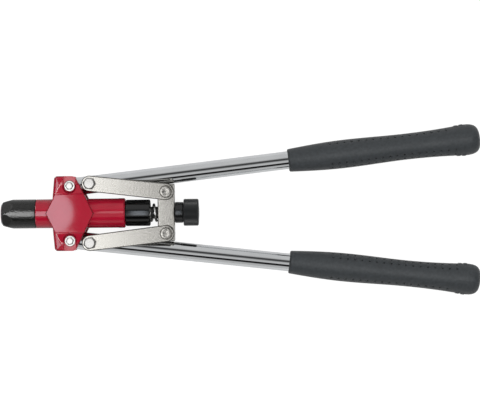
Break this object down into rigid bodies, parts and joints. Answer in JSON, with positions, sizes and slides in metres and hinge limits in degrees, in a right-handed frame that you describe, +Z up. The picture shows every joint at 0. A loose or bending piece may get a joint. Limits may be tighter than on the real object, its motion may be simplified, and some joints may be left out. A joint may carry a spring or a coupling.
{
  "type": "hand riveter",
  "caption": "Long-arm lever riveter: red cast body, black nose, chromed levers with grips, links that draw a sprung crosshead and hollow spindle.",
  "frame": {"origin": "centre of the body's flat back face, on the line between the two lever pivots", "axes": "+X along the tool's axis from the nose to the grips, +Y towards the upper lever, +Z up from the bench through the body"},
  "size_m": [0.4307, 0.1532, 0.0316],
  "materials": {
    "red_paint": "satin gloss paint on a casting",
    "black_steel": "blacked steel",
    "bright_steel": "zinc-plated or ground steel",
    "chrome": "polished chrome plate",
    "satin_nickel": "blasted nickel plate",
    "bronze": "plain bearing bronze",
    "grip_rubber": "matt charcoal grip",
    "knob_plastic": "matt black moulding"
  },
  "bodies": {
    "tool_body": {"main_body": "red_paint", "nose_casing": "black_steel", "nosepiece": "bright_steel", "stop_sleeve": "black_steel", "return_spring": "bright_steel", "upper_pivot_bolt": "bright_steel", "lower_pivot_bolt": "bright_steel", "upper_pivot_nut": "bright_steel", "lower_pivot_nut": "bright_steel"},
    "upper_lever": {"upper_lever_tube": "chrome", "upper_pivot_bush": "bronze", "upper_link_bush": "bronze", "upper_grip": "grip_rubber"},
    "lower_lever": {"lower_lever_tube": "chrome", "lower_pivot_bush": "bronze", "lower_link_bush": "bronze", "lower_grip": "grip_rubber"},
    "upper_links": {"upper_link_front": "satin_nickel", "upper_link_back": "satin_nickel", "upper_link_bolt": "bright_steel", "upper_link_nut": "bright_steel"},
    "lower_links": {"lower_link_front": "satin_nickel", "lower_link_back": "satin_nickel", "lower_link_bolt": "bright_steel", "lower_link_nut": "bright_steel"},
    "crosshead_set": {"crosshead": "satin_nickel", "upper_crosshead_pin": "satin_nickel", "lower_crosshead_pin": "satin_nickel", "upper_pin_ring": "black_steel", "lower_pin_ring": "black_steel"},
    "spindle_set": {"draw_spindle": "bright_steel", "collar_nut": "black_steel", "rear_knob": "knob_plastic", "jaw_case": "black_steel", "jaw_spring": "bright_steel"},
    "pusher": {"jaw_pusher": "bright_steel"},
    "first_jaw": {"jaw_1": "bright_steel"},
    "second_jaw": {"jaw_2": "bright_steel"},
    "third_jaw": {"jaw_3": "bright_steel"}
  },
  "joints": [
    {"name": "upper_lever_pivot", "type": "hinge", "parent": "tool_body", "child": "upper_lever", "pos_m": [0, 0.0246, 0.0155], "axis": [0, 0, 1], "range_deg": [0, 35], "stiffness_Nm_per_rad": 0.5, "springref_deg": -8.59},
    {"name": "lower_lever_pivot", "type": "hinge", "parent": "tool_body", "child": "lower_lever", "pos_m": [0, -0.0246, 0.0155], "axis": [0, 0, 1], "range_deg": [-35, 0]},
    {"name": "crosshead_slide", "type": "slide", "parent": "tool_body", "child": "crosshead_set", "axis": [-1, 0, 0], "range_m": [0, 0.00563], "deforming": ["return_spring"]},
    {"name": "upper_link_pivot", "type": "hinge", "parent": "upper_lever", "child": "upper_links", "pos_m": [0.01768, 0.02662, 0.0155], "axis": [0, 0, 1], "range_deg": [-43.5, 0]},
    {"name": "lower_link_pivot", "type": "hinge", "parent": "lower_lever", "child": "lower_links", "pos_m": [0.01768, -0.02662, 0.0155], "axis": [0, 0, 1], "range_deg": [0, 43.5]},
    {"name": "knob_turn", "type": "hinge", "parent": "crosshead_set", "child": "spindle_set", "pos_m": [0.0858, 0, 0.0155], "axis": [1, 0, 0], "continuous": true},
    {"name": "pusher_slide", "type": "slide", "parent": "spindle_set", "child": "pusher", "axis": [1, 0, 0], "range_m": [0, 0.00118], "deforming": ["jaw_spring"]},
    {"name": "first_jaw_slide", "type": "slide", "parent": "spindle_set", "child": "first_jaw", "axis": [0.9741, 0, -0.2261], "range_m": [0, 0.00121]},
    {"name": "second_jaw_slide", "type": "slide", "parent": "spindle_set", "child": "second_jaw", "axis": [0.9741, 0.1958, 0.1131], "range_m": [0, 0.00121]},
    {"name": "third_jaw_slide", "type": "slide", "parent": "spindle_set", "child": "third_jaw", "axis": [0.9741, -0.1958, 0.1131], "range_m": [0, 0.00121]}
  ],
  "couplings": [
    {"joint": "lower_lever_pivot", "follows": "upper_lever_pivot", "ratio": -1},
    {"joint": "crosshead_slide", "follows": "upper_lever_pivot", "m_per_rad": 0.0092},
    {"joint": "upper_link_pivot", "follows": "upper_lever_pivot", "ratio": -1.242},
    {"joint": "lower_link_pivot", "follows": "upper_lever_pivot", "ratio": 1.242},
    {"joint": "pusher_slide", "follows": "upper_lever_pivot", "m_per_rad": 0.0019},
    {"joint": "first_jaw_slide", "follows": "upper_lever_pivot", "m_per_rad": 0.00195},
    {"joint": "second_jaw_slide", "follows": "upper_lever_pivot", "m_per_rad": 0.00195},
    {"joint": "third_jaw_slide", "follows": "upper_lever_pivot", "m_per_rad": 0.00195}
  ]
}
